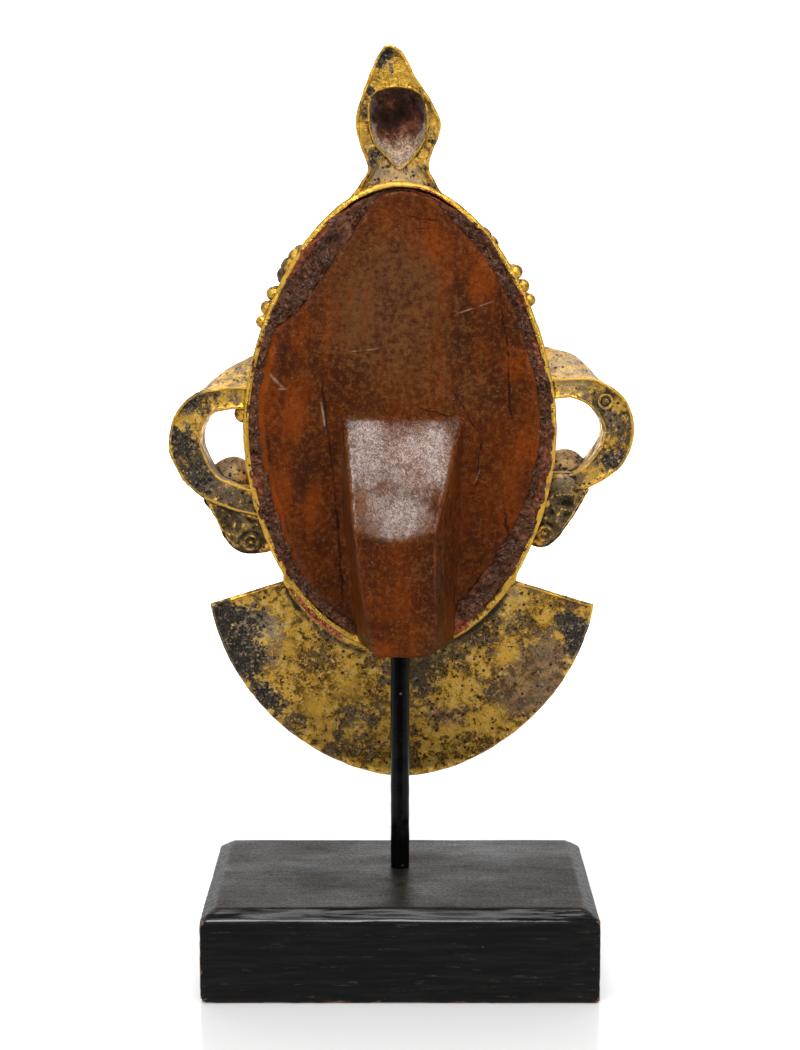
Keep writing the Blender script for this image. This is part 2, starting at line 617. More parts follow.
def finialBody():
    # back: a flat face with a raised edge; front: a swelling flame with a border and a raised middle
    outline = evenly(splined(finial["outline"], 10), finial["steps"])
    flat = flatRing(outline, 0)
    outline = outline + 0.16 * np.stack([ripple(flat, 11, 41), ripple(flat, 11, 42)], -1)
    back = finial["backY"]
    middle = np.array([1.2, 346.0])
    flatPart = shifted(outline, 2.6)
    rings = [flatRing(middle + (flatPart - middle) * share, back - 0.9)
             for share in (0.3, 0.45, 0.6, 0.74, 0.87)]
    rings += [flatRing(shifted(outline, inset), back + rise) for inset, rise in
              ((2.6, -0.9), (1.9, -0.7), (1.3, 0), (0.7, 0), (0.2, -0.4), (0, -1.2))]
    rings += [flatRing(shifted(outline, inset), back - depth) for inset, depth in
              ((0, 4), (0, 7), (0, 9), (0.5, 10.6), (1.4, 11.6), (2.4, 11.2), (3.2, 10.4))]
    inner = shifted(outline, 3.2)
    swell = splined([[1, 10.4], [0.9, 12.5], [0.75, 15], [0.55, 17], [0.3, 17.9], [0.04, 18]], 5,
                    closed=False)
    rings += [flatRing(middle + (inner - middle) * share, back - depth) for share, depth in swell[1:]]
    rings = np.stack(rings)
    flatBack = (rings[..., 1] > back - 1) * ease(318, 322, rings[..., 2])
    rings[..., 1] += flatBack * (0.22 * ripple(rings, 8, 46) + 0.1 * ripple(rings, 3.4, 47) - 0.1)
    leaves = ease(338, 329, rings[..., 2]) * ease(back - 9, back - 11, rings[..., 1])
    rings[..., 1] -= 1.6 * leaves * np.abs(np.cos((rings[..., 0] - middle[0]) * 0.42))
    body = skinned("finial", rings)
    recess = evenly(splined(finial["recess"], 10), finial["recessSteps"])
    centre = recess.mean(0)
    deep = finial["recessDeep"]
    levels = splined([[3, 1.01], [0.5, 1], [-1.5, 0.97], [-4, 0.88], [4.6 - deep, 0.72], [1.5 - deep, 0.45],
                      [-deep, 0.04]], 6, closed=False)
    cut = np.stack([flatRing(centre + (recess - centre) * share, back + rise) for rise, share in levels])
    rough = ease(-1.5, -5, cut[..., 1] - back)
    cut[..., 1] += rough * (1.3 * ripple(cut, 9, 43) + 0.8 * ripple(cut, 3.2, 44))
    cut[..., 0] += rough * 0.4 * ripple(cut, 4, 45)
    fuse(body, [skinned("recess", cut)], "DIFFERENCE")
    turn = turns(10)
    edge = np.stack([flatRing(shifted(recess, -0.3 + 0.42 * c), back - 0.85 + 0.5 * s)
                     for c, s in zip(np.cos(turn), np.sin(turn))], 1)
    edge[..., 1] -= 0.6 * ease(346, 356, edge[..., 2])
    fuse(body, [wrapped("recess edge", edge)])
    return body


collar = {
    "apexZ": 172.3, "topEdgeAngle": -16.8, "centreZ": 155.6, "halfWidth": 82.5, "drop": 86.8,
    "squareness": 1.8, "shift": -1.0,
    "thickness": 2.4, "topY": -29, "lean": 11, "wrap": 0.0004, "sections": 186, "across": 30,
    "beadRows": [(6.5, 42), (19, 34)], "beadRadius": 3.0,
}


def collarBackY(x, z):
    fall = np.maximum(0, collar["apexZ"] - 16 - z) / collar["drop"]
    return collar["topY"] - collar["lean"] * fall**1.5 + collar["wrap"] * x**2


def collarReach(angle):
    # distance from the apex to the rounded lower edge |x/a|^n + |z/b|^n = 1
    def inside(out):
        across = np.abs(out * np.cos(angle) - collar["shift"]) / collar["halfWidth"]
        down = np.maximum(0, collar["centreZ"] - collar["apexZ"] - out * np.sin(angle)) / collar["drop"]
        return across ** collar["squareness"] + down ** collar["squareness"] < 1
    return farthest(inside, np.full_like(angle, 20.0))


def collarPlate():
    # radial sections through the plate: back face with a raised edge, rounded rim, front with petals cut in
    first = math.radians(collar["topEdgeAngle"])
    t = np.linspace(0, 1, collar["sections"])
    t = 0.5 * t + 0.25 * (1 - np.cos(math.pi * t))
    angle = mix(first, -math.pi - first, t)[:, None]
    inner, outer = 38 + 8 * np.cos(angle) ** 2, collarReach(angle)
    share = 1 - (1 - np.linspace(0, 1, collar["across"])) ** 1.7
    share = np.concatenate([share[:-1] * 0.997, [0.9985, 1.0]])[None, :]
    reach = mix(inner, outer, share)
    x, z = reach * np.cos(angle), collar["apexZ"] + reach * np.sin(angle)
    fromRim = outer - reach
    fromSide = reach * np.minimum(np.sin(first - angle), np.sin(angle + math.pi + first))
    edge = np.minimum(fromRim, np.maximum(fromSide, 0))
    rolled = 0.9 * ease(0.9, 0, edge)
    plain = np.stack([x, 0 * x, z], -1)
    dent = 0.5 * ripple(plain, 46, 51) + 0.22 * ripple(plain, 15, 52) + 0.08 * ripple(plain, 5, 53)
    backY = collarBackY(x, z) + dent + 0.7 * bell(edge, 0.9, 0.9) - rolled
    petals = np.abs(np.cos(angle * 14))
    cut = 0.9 * bell(fromRim, 10 + 5 * petals, 1.2) + 0.6 * bell(fromRim, 2.6, 0.8)
    frontY = collarBackY(x, z) + dent - collar["thickness"] + rolled + cut
    back = np.stack([x, backY, z], -1)
    front = np.stack([x, frontY, z], -1)[:, ::-1]
    return skinned("collar", np.concatenate([back, front], 1))


def collarBeads(name, inset, count):
    first = math.radians(collar["topEdgeAngle"] - 4)
    angle = np.linspace(first, -math.pi - first, 200)
    reach = collarReach(angle) - inset
    x, z = reach * np.cos(angle), collar["apexZ"] + reach * np.sin(angle)
    y = collarBackY(x, z) - collar["thickness"] - 0.5
    line = evenly(np.column_stack([x, z, y]), count, closed=False)
    return beadBodies(name, line[:, [0, 2, 1]], collar["beadRadius"], 61, 0.62)


def brassCasting():
    whole = domeBody("brass_casting", dome["gridSteps"], 0, 0, 1, 1, oval["backY"] - 0.6)
    castOn = [ovalLip(), finialBody(), collarPlate()]
    castOn += [collarBeads(f"collar beads {inset}", inset, count) for inset, count in collar["beadRows"]]
    rows = np.concatenate([diademRow(row) for row in range(3)])
    castOn += [beadBodies("diadem beads", rows, diadem["radius"], 62)]
    castOn += [rosette(x, z) for x, z in rosettes["places"]]
    for side in ("left", "right"):
        ear = ears[side]
        castOn += [earBand(f"band {side}", ear), earPlug(f"plug {side}", ear)]
        castOn += [earPendant(f"pendant {side}", ear)]
    castOn += [ringBoss("ring boss", *ears["boss"])]
    castOn += [beadBodies("knob", np.array([ears["knob"]]), ears["knobRadius"], 63)]
    fuse(whole, castOn)
    hollow = domeBody("hollow", dome["hollowSteps"], oval["wall"], dome["castThickness"], 0.3, 0,
                      oval["backY"] + 12)
    fuse(whole, [hollow], "DIFFERENCE")
    finishBrass(whole)
    return whole


# Wood, pitch, rod and plinth

block = {
    "backY": -25.4, "frontY": -58, "bevel": 1.6, "bevelIn": 1.1, "crown": 2.2, "voxel": 1.0, "gap": 0.3,
    "steps": 260, "insideSteps": 60,
    "outline": [
        [-9, 320.4], [-17, 315], [-27, 305], [-36, 294], [-45, 280], [-51.5, 265], [-56, 250],
        [-58.8, 235], [-59.4, 219], [-56, 200], [-50.5, 184], [-42, 170], [-33, 157], [-25, 147], [-15, 138],
        [0, 134], [20, 139.5], [32, 148.5], [43, 161], [50.5, 176], [55.5, 193], [60, 212], [61.2, 222],
        [60.4, 238], [57.4, 252], [53, 264], [40.5, 275], [24.5, 298.5], [14.5, 312.6], [8, 320], [0, 322.2],
    ],
}
peg = {
    "rootY": -25.5, "meetsBackY": -24, "nearY": 8, "bottomZ": 131, "cornerZ": 137.5, "ridgeZ": 184,
    "topZ": 228.3, "ridgeSag": 5, "steps": 13,
    "rootBottom": (-23.8, 18.8), "rootCorner": (-24.8, 20), "rootRidge": (-27.4, 24.6),
    "rootTop": (-27, 24.4), "nearBottom": (-10.4, 9.4), "nearCorner": (-14.6, 12.2), "nearRidge": (-15, 19.4),
}
rod = {"radius": 4.0, "y": -8.0, "bottomZ": 20.3, "topZ": 157.0, "sides": 56, "rows": 150}


wood = {
    "cracks": [
        ((33.2, 247), (29.8, 219), 0.55), ((29.8, 219), (27, 190), 0.45), ((27, 190), (24, 150), 0.6),
        ((-44.7, 263), (-46.5, 226), 0.6), ((-43.3, 195), (-46, 175), 0.9), ((-7, 232), (-22, 228), 0.4),
        ((-22, 240), (-34.4, 218), 0.4), ((-34.4, 218), (-32.3, 201), 0.35), ((29, 225.6), (9, 226.4), 0.4),
        ((-1.7, 311.7), (-17, 309), 0.45), ((-4.4, 307), (-15, 306), 0.3), ((-41, 284), (-44, 262), 0.35),
    ],
    "scratches": [
        ((33.2, 235), (31, 220.5), 0.6), ((55, 246), (48.9, 240), 0.7), ((-23.5, 271), (-38.5, 276), 0.35),
        ((21.6, 255.2), (8, 256.6), 0.3), ((52, 239.6), (47, 239.6), 0.45), ((-34, 206), (-31.5, 200), 0.4),
    ],
    "tints": {
        "sheen": [
            (15, 222, 8, 0.9), (18, 207, 9, 0.9), (13, 190, 8, 1.0), (2, 186, 8, 0.9), (-9, 187, 7, 0.7),
            (-14, 218, 9, 0.8), (0, 214, 11, 0.6), (-17, 204, 8, 0.6), (-2, 200, 10, 0.4),
        ],
        "grey": [
            (4, 288, 26, 0.8), (-4, 252, 30, 0.55), (20, 268, 16, 0.4), (-33, 236, 14, 0.35),
            (-9, 168, 8, 0.4), (-11, 142, 7, 0.4),
        ],
        "warm": [
            (-15, 300, 10, 0.6), (-36, 286, 12, 0.8), (-52, 250, 9, 0.8), (-54, 214, 10, 0.7),
            (46, 264, 15, 0.6), (50, 228, 13, 0.7), (46, 194, 14, 0.7), (3, 304, 7, 0.4),
            (-46, 184, 10, 0.4), (8, 133, 6, 0.7), (11, 156, 6, 0.4),
        ],
    },
}


def woodOutline():
    return evenly(splined(block["outline"], 8), block["steps"])


def pegBody():
    def ring(z, root, near, nearY, sag=0.0):
        # the near side in even steps, lower by the sag in the middle
        share = np.linspace(0, 1, peg["steps"])
        fall = sag * 4 * share * (1 - share)
        side = np.column_stack([mix(near[0], near[1], share), nearY + 0 * share, z - fall])
        ends = np.array([[root[0], peg["rootY"] - 4, z], [root[1], peg["rootY"] - 4, z]], float)
        return np.vstack([ends[:1], side, ends[1:]])
    return skinned("peg", np.stack([
        ring(peg["bottomZ"], peg["rootBottom"], peg["nearBottom"], peg["nearY"] - 0.6),
        ring(peg["cornerZ"], peg["rootCorner"], peg["nearCorner"], peg["nearY"]),
        ring(peg["ridgeZ"], peg["rootRidge"], peg["nearRidge"], peg["nearY"], peg["ridgeSag"]),
        ring(peg["topZ"], peg["rootTop"], peg["rootTop"], peg["meetsBackY"]),
    ]))


def column(name, radius, low, high, sides=48, rows=2):
    turn = turns(sides)
    z = np.linspace(low, high, rows)[:, None]
    x, y = radius * np.cos(turn) + 0 * z, rod["y"] + radius * np.sin(turn) + 0 * z
    return skinned(name, np.stack([x, y, z + 0 * x], -1))


def woodPiece():
    # the carved block with its peg, evened out to small cells, then worn soft and hand-cut
    outline = woodOutline()
    back, front, bevel, low = block["backY"], block["frontY"], block["bevel"], block["bevelIn"]
    rings = [flatRing(shifted(outline, inset), y) for inset, y in
             ((0, front), (0, back - bevel), (0.45 * low, back - 0.42 * bevel), (low, back))]
    middle, inner = outline.mean(0), shifted(outline, low)
    rings += [flatRing(middle + (inner - middle) * share, back + block["crown"] * (1 - share**2))
              for share in (0.75, 0.5, 0.25, 0.02)]
    whole = skinned("carved_wood", np.stack(rings))
    wall, thickness = oval["wall"] + block["gap"], dome["castThickness"] + block["gap"]
    inside = domeBody("inside", block["insideSteps"], wall, thickness, 0.5, 0, oval["backY"] + 6)
    fuse(whole, [inside], "INTERSECT")
    fuse(whole, [pegBody()])
    bore = column("bore", rod["radius"] + 0.3, peg["bottomZ"] - 5, rod["topZ"] + 0.3)
    fuse(whole, [bore], "DIFFERENCE")
    evenCells(whole, block["voxel"])
    mesh = whole.data
    points, edges = readPoints(mesh), readEdges(mesh)
    points = np.column_stack([spread(points[:, k], edges, 2) for k in range(3)])
    writePoints(mesh, points)
    normals = readNormals(mesh)
    stretch = points * [1.0, 1.0, 0.45]
    chips = ease(0.1, 0.3, bend(mesh, 1)) * np.maximum(0, ripple(points, 5, 71) - 0.2)
    calm = 1 - 0.75 * np.clip(stained(points, wood["tints"]["sheen"]) * 1.4, 0, 1)
    height = 0.42 * ripple(points, 48, 72) + 0.22 * ripple(stretch, 13, 73) + 0.09 * ripple(stretch, 4.2, 74)
    height = height * calm - 0.9 * chips
    inBore = np.hypot(points[:, 0], points[:, 1] - rod["y"]) < rod["radius"] + 1.5
    height = np.where(inBore & (points[:, 2] < rod["topZ"] + 2), 0, height)
    writePoints(mesh, points + normals * height[:, None])
    keepValues(mesh, "edge", ease(0.05, 0.24, bend(mesh, 2)))
    keepValues(mesh, "hollow", ease(-0.05, -0.22, bend(mesh, 2)))
    fromEdge = outlineDistance(points, outline)
    left = ease(30, 44, points[:, 0]) * ease(150, 175, points[:, 2]) * ease(266, 250, points[:, 2])
    onBack = ease(-32, -28, points[:, 1])
    cut = ease(6.2, 0.6, fromEdge + 0.8 * ripple(points, 12, 75)) * left * onBack
    points = readPoints(mesh)
    writePoints(mesh, points - np.stack([0 * cut, 2.0 * cut, 0 * cut], -1))
    keepValues(mesh, "worn", ease(5.5, 2.5, fromEdge + 0.8 * ripple(points, 14, 76)) * left * onBack)
    for name, patches in wood["tints"].items():
        keepValues(mesh, name, stained(points, patches))
    roundShading(mesh, 60)
    return whole


def outlineDistance(points, outline):
    # distance in the xz plane from each point to the nearest outline point, in blocks to save memory
    nearest = [np.sqrt(((part[:, None, [0, 2]] - outline[None]) ** 2).sum(-1).min(1))
               for part in np.array_split(points, max(1, len(points) // 4000))]
    return np.concatenate(nearest)


bedding = {
    "steps": 720, "across": 30, "level": -26.7, "frontY": -34.0, "frontIn": 4.5, "under": 2.2,
    "resin": [(34, 305, 6, 0.9), (41, 298, 6, 0.9), (47, 290, 6, 0.7), (22, 314, 6, 0.5), (-57, 250, 4, 0.7),
              (-55, 257, 4, 0.9), (61, 240, 4, 0.5), (60, 196, 5, 0.6), (-60, 222, 5, 0.7)],
}


def pitchPiece():
    # a ring of set pitch from under the wood's edge to the rim: y is a level plus lumps and wrinkles
    turn = np.linspace(-math.pi, math.pi, bedding["steps"], endpoint=False)
    outline = woodOutline()
    around = np.arctan2(outline[:, 1] - oval["centreZ"], outline[:, 0])
    order = np.argsort(around)
    reach = np.hypot(outline[:, 0], outline[:, 1] - oval["centreZ"])
    woodReach = np.interp(turn, around[order], reach[order], period=2 * math.pi)
    ring = np.stack([60 * np.cos(turn), 0 * turn, 90 * np.sin(turn)], -1)
    lap = 1.75 + 0.42 * ripple(ring, 16, 81) + 0.22 * ripple(ring, 5, 82)
    lap = lap - 2.5 * ease(0.93, 0.99, np.sin(turn)) - 1.9 * ease(0.78, 0.86, -np.sin(turn))
    outer = ovalReach(turn, oval["wall"]) + lap
    inner = np.minimum(woodReach - bedding["under"], outer - 1.6)
    share = np.linspace(0, 1, bedding["across"])[None, :]
    radial = mix(inner[:, None], outer[:, None], share)
    x = radial * np.cos(turn)[:, None]
    z = oval["centreZ"] + radial * np.sin(turn)[:, None]
    flat = np.stack([x, 0 * x, z], -1)
    width = outer - inner
    wide = ease(3, 8, width)[:, None]
    lumps = 0.55 * ripple(flat, 9, 83) + 0.5 * wide * ripple(flat, 4.2, 84) + 0.28 * ripple(flat, 1.9, 85)
    folds = 1 - np.abs(ripple(flat + 2 * ripple(flat, 11, 86)[..., None], 4.6, 87)) * 2.4
    y = bedding["level"] + lumps + 0.75 * wide * np.maximum(folds, -0.4)
    y = y - (2.2 - 1.7 * ease(0.78, 0.86, -np.sin(turn)))[:, None] * ease(0.9, 1, share)
    y = y - 0.8 * ease(0.25, 0, share) + 0.5 * bell(share, 0.86, 0.12)
    y = np.minimum(y, -25.4)
    back = np.stack([x, y, z], -1)
    frontOuter = outer - bedding["frontIn"]
    frontReach = np.stack([frontOuter, np.minimum(inner, frontOuter - 1)], 1)
    sides = np.stack([frontReach * np.cos(turn)[:, None], bedding["frontY"] + 0 * frontReach,
                      oval["centreZ"] + frontReach * np.sin(turn)[:, None]], -1)
    made = wrapped("set_pitch", np.concatenate([back, sides], 1))
    points = readPoints(made.data)
    nearRim = ease(6.5, 4, insetOf(points))
    keepValues(made.data, "resin", stained(points, stains["resin"] + bedding["resin"]) * nearRim)
    roundShading(made.data, 70)
    return made


def rodPiece():
    made = column("steel_rod", rod["radius"], rod["bottomZ"], rod["topZ"], rod["sides"], rod["rows"])
    mesh = made.data
    points = readPoints(mesh)
    outwards = (points - [0, rod["y"], 0]) * [1, 1, 0]
    outwards /= np.maximum(np.linalg.norm(outwards, axis=1, keepdims=True), 0.001)
    writePoints(mesh, points + outwards * (0.05 * ripple(points, 9, 91) - 0.03)[:, None])
    roundShading(mesh, 50)
    return made


plinth = {"width": 160, "depth": 110, "height": 38, "chamferIn": 6.3, "chamferDown": 4.3, "voxel": 1.35}


def plinthPiece():
    # a flat chamfered box in small cells, with softened, chipped arrises
    def level(z, inset):
        x, y = plinth["width"] / 2 - inset, plinth["depth"] / 2 - inset
        return [[-x, -y, z], [x, -y, z], [x, y, z], [-x, y, z]]
    high, down, inwards = plinth["height"], plinth["chamferDown"], plinth["chamferIn"]
    levels = [level(0, 0.5), level(0.5, 0), level(high - down, 0), level(high, inwards)]
    made = skinned("painted_plinth", np.array(levels, float))
    evenCells(made, plinth["voxel"])
    mesh = made.data
    points = readPoints(mesh)
    ridge = ease(0.05, 0.3, bend(mesh, 1))
    chips = np.maximum(0, ripple(points * [0.6, 1, 1.6], 7, 95) - 0.35)
    chips = chips + np.maximum(0, ripple(points, 22, 96) - 0.3)
    onTop = ease(0.8, 0.95, readNormals(mesh)[:, 2])
    grain = (0.07 - 0.055 * onTop) * ripple(points * [0.12, 1, 1], 2.9, 97) + 0.05 * ripple(points, 30, 98)
    height = grain * ease(0.5, 2, points[:, 2]) - 0.19 - 0.9 * ridge * chips
    writePoints(mesh, points + readNormals(mesh) * height[:, None])
    keepValues(mesh, "edge", ease(0.04, 0.22, bend(mesh, 1)))
    normals = readNormals(mesh)
    keepValues(mesh, "gloss", ease(0.25, 0.45, normals[:, 1]) * ease(0.5, 0.75, normals[:, 2]))
    keepValues(mesh, "top", ease(0.9, 0.97, normals[:, 2]))
    roundShading(mesh, 40)
    return made


# Wear on the brass: x, z, radius and strength of each soft patch

stains = {
    "tarnish": [
        (75, 142, 8, 1.1), (70, 130, 9, 1.1), (65, 119, 7, 1.0), (59, 109, 6, 0.9), (52, 101, 6, 0.8),
        (62, 141, 8, 0.8), (45, 96, 5, 0.5), (60, 128, 7, 0.6), (-72, 139, 7, 1.0), (-78, 133, 7, 1.1),
        (-74, 126, 5, 0.6), (12, 85, 9, 0.3), (6, 376.6, 2.6, 1.2), (8.5, 373, 2, 1.0),
        (12, 362.8, 2.2, 1.1), (-9.2, 363.2, 2.2, 1.1), (-14, 342, 1.6, 1.0), (10.1, 336.4, 1.9, 1.0),
        (12.3, 332.5, 2.2, 1.1), (-11, 331, 1.8, 1.0), (3.4, 370.6, 0.9, 0.9), (-2.6, 367.2, 1.0, 0.8),
        (7.6, 367.6, 0.9, 0.8), (-4.8, 371.8, 0.8, 0.8), (14.6, 353, 1.6, 0.8), (93, 219, 7.5, 1.0),
        (87, 204, 7, 0.85), (87, 233, 7, 0.9), (73, 236, 5, 0.5), (80, 199, 6, 0.5), (-83, 230, 3.5, 0.6),
        (-88, 208, 7, 0.85), (-91, 222, 6, 0.35), (-74, 237.5, 4, 0.5),
    ],
    "grime": [
        (66, 182, 14, 1.2), (-66, 188, 13, 1.3), (-47, 141, 7, 1.0), (-10, 124, 11, 0.9),
        (-26, 128, 9, 0.8), (0, 116, 9, 0.7), (20, 93, 10, 0.8), (36, 135, 7, 0.5), (-36, 112, 6, 0.5),
        (68, 242, 7, 0.6), (-76, 241, 6, 0.5), (86, 205, 8, 0.7), (-86, 208, 7, 0.7), (30, 80, 8, 0.5),
        (50, 289, 8, 1.2), (-16, 347, 4, 0.5), (-12, 100, 9, 0.4), (90, 228, 7, 0.7), (93, 214, 7, 0.8),
        (76, 197, 8, 0.6), (78, 235, 7, 0.7), (-90, 226, 9, 0.65), (-82, 236, 7, 0.45), (-78, 202, 7, 0.55),
    ],
    "dust": [
        (-70, 248, 14, 0.9), (70, 246, 12, 0.6), (72, 207, 10, 1.3), (-70, 210, 10, 1.3), (0, 324, 12, 1.2),
        (-50, 152, 8, 0.6), (57, 136, 8, 0.9), (22, 132, 14, 0.3), (-62, 128, 9, 0.4), (52, 120, 6, 0.5),
        (-64, 112, 9, 0.3), (-58, 103, 7, 0.25),
    ],
    "resin": [
        (53, 158, 3, 1.0), (50, 153, 4, 1.2), (45, 147, 4, 1.2), (39, 141.5, 4, 1.2), (32, 137, 4, 1.2),
        (27, 134, 3, 0.8), (-59, 212, 5, 0.8), (-57, 203, 5, 1.0), (-55, 194, 5, 1.0), (-53, 186, 4, 0.8),
        (-50, 178, 4, 1.0), (-47, 170, 4, 0.7), (-38, 156, 4, 0.5), (-26, 139, 4, 1.0), (-21, 137, 4, 1.0),
        (-9, 322, 5, 0.8), (-15, 318, 4, 0.9), (-21, 313, 4, 0.6), (-50, 276, 5, 0.7), (56, 176, 4, 0.5),
        (61, 200, 4, 0.5),
    ],
    "clean": [
        (2, 366, 13, 1.2), (-16, 350, 6, 0.9), (17, 346, 6, 0.9), (14, 334, 5, 0.5), (-13, 332, 4, 0.5),
        (37, 101, 7, 0.9), (22, 110, 9, 0.7), (48, 128, 5, 0.9), (-46, 125, 7, 0.9), (-43, 100, 9, 0.6),
        (40, 150, 6, 0.6), (-62, 150, 5, 0.5), (57, 268, 14, 0.3), (-52, 280, 14, 0.3), (-70, 238, 8, 0.5),
        (-91, 224, 9, 0.35), (-82, 204, 6, 0.45), (82, 222, 5, 0.3), (72, 238, 6, 0.3),
    ],
    "mauve": [
        (-60, 118, 12, 1.0), (-54, 106, 10, 0.9), (-66, 126, 8, 0.8), (-20, 97, 10, 0.7),
        (-52, 110, 12, 0.5), (55, 112, 8, 0.5), (84, 212, 10, 0.6), (80, 200, 8, 0.6), (70, 194, 8, 0.5),
        (-85, 208, 8, 0.5), (-90, 226, 8, 0.6), (8, 336, 8, 0.35), (-15, 343, 6, 0.3), (16, 338, 6, 0.2),
        (30, 95, 12, 0.4),
    ],
}


def stained(points, patches):
    total = np.zeros(len(points))
    for x, z, radius, strength in patches:
        total += strength * np.exp(-((points[:, 0] - x) ** 2 + (points[:, 2] - z) ** 2) / radius**2)
    return total


def finishBrass(made):
    # a fine cast skin, then the values that the brass material reads at each point
    mesh = made.data
    points, normals = readPoints(mesh), readNormals(mesh)
    height = 0.1 * ripple(points, 7, 101) + 0.05 * ripple(points, 2.6, 102)
    calm = 0.5 + 0.5 * ease(-60, -40, points[:, 1])
    writePoints(mesh, points + normals * (height * calm - 0.1)[:, None])
    x, y, z = points.T
    bent = bend(mesh, 1)
    inset = insetOf(points)
    fromLip = inset + lipOut(x, z)
    onRim = ease(-28.8, -27.8, y)
    crease = bell(fromLip, -0.6, 0.8) * ease(166, 158, z) * ease(-26.8, -27.6, y)
    cavity = 0.85 * ease(-0.05, -0.2, bend(mesh, 4)) * ease(318, 310, z) * (1 - 0.9 * onRim)
    facing = ease(0.1, -0.4, normals[:, 1]) * ease(-28, -34, y)
    keepValues(mesh, "edge", ease(0.10, 0.55, bent))
    keepValues(mesh, "hollow", np.maximum.reduce([ease(-0.06, -0.4, bent), cavity, crease]))
    keepValues(mesh, "front", np.maximum(facing, ease(-42, -48, y)))
    for name, patches in stains.items():
        values = stained(points, patches)
        if name == "resin":  # only in a band along the rim's middle
            values = values * ease(0.9, 1.5, fromLip) * ease(4.4, 3.8, fromLip) * onRim
        if name == "clean":
            values = values + onRim * ease(-2.4, -1.2, inset) * ease(6, 4, inset)
        keepValues(mesh, name, values)
    centre = np.mean(finial["recess"], axis=0)
    fromCentre = np.hypot((x - centre[0]) / 11.5, (z - centre[1]) / 16)
    depth = finial["backY"] - y
    inRecess = (fromCentre < 1.15) * (depth < finial["recessDeep"] + 2.5) * ease(-0.35, -0.05, normals[:, 1])
    keepValues(mesh, "earth", ease(1.2, 2.2, depth) * inRecess)
    keepValues(mesh, "crust", ease(9.5, 4, depth) * ease(366, 358, z))
    keepValues(mesh, "pale", ease(357, 335, z))
    roundShading(mesh, 42)


# Shader nodes

def tone(red, green, blue):
    # a colour given in the usual 0 to 255 steps, made linear
    steps = [((c / 255 + 0.055) / 1.055) ** 2.4 if c > 10 else c / 255 / 12.92 for c in (red, green, blue)]
    return (*steps, 1.0)


def fill(node, values):
    # each input gets its link, or its plain value
    for key, value in values.items():
        if isinstance(value, Shade):
            Shade.tree.links.new(value.socket, node.inputs[key])
        else:
            node.inputs[key].default_value = value


class Shade:
    # wraps one output socket, so that sums and products of shader values read as formulas
    tree = None

    def __init__(self, socket):
        self.socket = socket

    @staticmethod
    def node(kind, settings=None, inputs=None, output=0):
        made = Shade.tree.nodes.new(kind)
        for key, value in (settings or {}).items():
            setattr(made, key, value)
        fill(made, inputs or {})
        return Shade(made.outputs[output])

    def maths(self, operation, other=None, turned=False):
        pair = [self] if other is None else [other, self] if turned else [self, other]
        return Shade.node("ShaderNodeMath", {"operation": operation}, dict(enumerate(pair)))

    def __add__(self, other):
        return self.maths("ADD", other)

    def __sub__(self, other):
        return self.maths("SUBTRACT", other)

    def __rsub__(self, other):
        return self.maths("SUBTRACT", other, True)

    def __mul__(self, other):
        return self.maths("MULTIPLY", other)

    __radd__, __rmul__ = __add__, __mul__

    def ramp(self, low, high):
        # smooth step from 0 at low to 1 at high
        return Shade.node("ShaderNodeMapRange", {"interpolation_type": "SMOOTHSTEP"},
                          {"Value": self, "From Min": low, "From Max": high})

    def most(self, other):
        return self.maths("MAXIMUM", other)


def blend(first, second, factor):
    # three numbers are a tone in 0 to 255 steps, four are a linear colour
    ends = [tone(*end) if isinstance(end, tuple) and len(end) == 3 else end for end in (first, second)]
    return Shade.node("ShaderNodeMix", {"data_type": "RGBA"}, {0: factor, 6: ends[0], 7: ends[1]}, 2)


def layered(colour, layers):
    # one colour after another laid over the first, each as far as its factor says
    for over, factor in layers:
        colour = blend(colour, over, factor)
    return colour


def level(low, high, factor):
    # a plain number that goes from low to high
    return factor * (high - low) + low


def place():
    return Shade.node("ShaderNodeTexCoord", output="Object")


def moved(where, stretch, shift):
    return Shade.node("ShaderNodeVectorMath", {"operation": "MULTIPLY_ADD"},
                      {0: where, 1: stretch, 2: (shift, 1.7 * shift, -shift)})


def noise(where, size, shift=0.0, detail=4.0, roughness=0.55, stretch=(1, 1, 1), distortion=0.0):
    # size is the wavelength in mm, and shift moves the pattern so that no two are alike
    return Shade.node("ShaderNodeTexNoise", {}, {
        "Vector": moved(where, stretch, shift), "Scale": 1000 / size, "Detail": detail,
        "Roughness": roughness, "Distortion": distortion,
    })


def cells(where, size, shift, metric="EUCLIDEAN"):
    # distance from the nearest of scattered points, in parts of the size
    return Shade.node("ShaderNodeTexVoronoi", {"distance": metric}, {
        "Vector": moved(where, (1, 1, 1), shift), "Scale": 1000 / size,
    })


def dots(where, size, shift, low, high, metric="EUCLIDEAN"):
    # 1 inside scattered dots of radius low, 0 outside radius high, both in parts of the size
    return 1 - cells(where, size, shift, metric).ramp(low, high)


def wobbled(where, size, reach):
    # the place pushed about by up to reach mm
    push = Shade.node("ShaderNodeTexNoise", {}, {"Vector": where, "Scale": 1000 / size, "Detail": 3.0}, 1)
    return Shade.node("ShaderNodeVectorMath", {"operation": "MULTIPLY_ADD"},
                      {0: push, 1: (reach * metre,) * 3, 2: where})


def curls(where, size, shift):
    # thin winding lines: 0 on the lines, rising between them
    winding = noise(where, size, shift, 2.0, 0.5, distortion=1.8)
    return (winding - 0.5).maths("ABSOLUTE")


def kept(name):
    return Shade.node("ShaderNodeAttribute", {"attribute_name": name}, output="Fac")


def newMaterial(name):
    material = bpy.data.materials.new(name)
    material.use_nodes = True
    Shade.tree = material.node_tree
    return material, place()


def surface(values, height=None):
    # feeds the Principled node; height is in mm
    if height is not None:
        values = values | {"Normal": Shade.node("ShaderNodeBump", {}, {"Distance": metre, "Height": height})}
    fill(Shade.tree.nodes["Principled BSDF"], values)


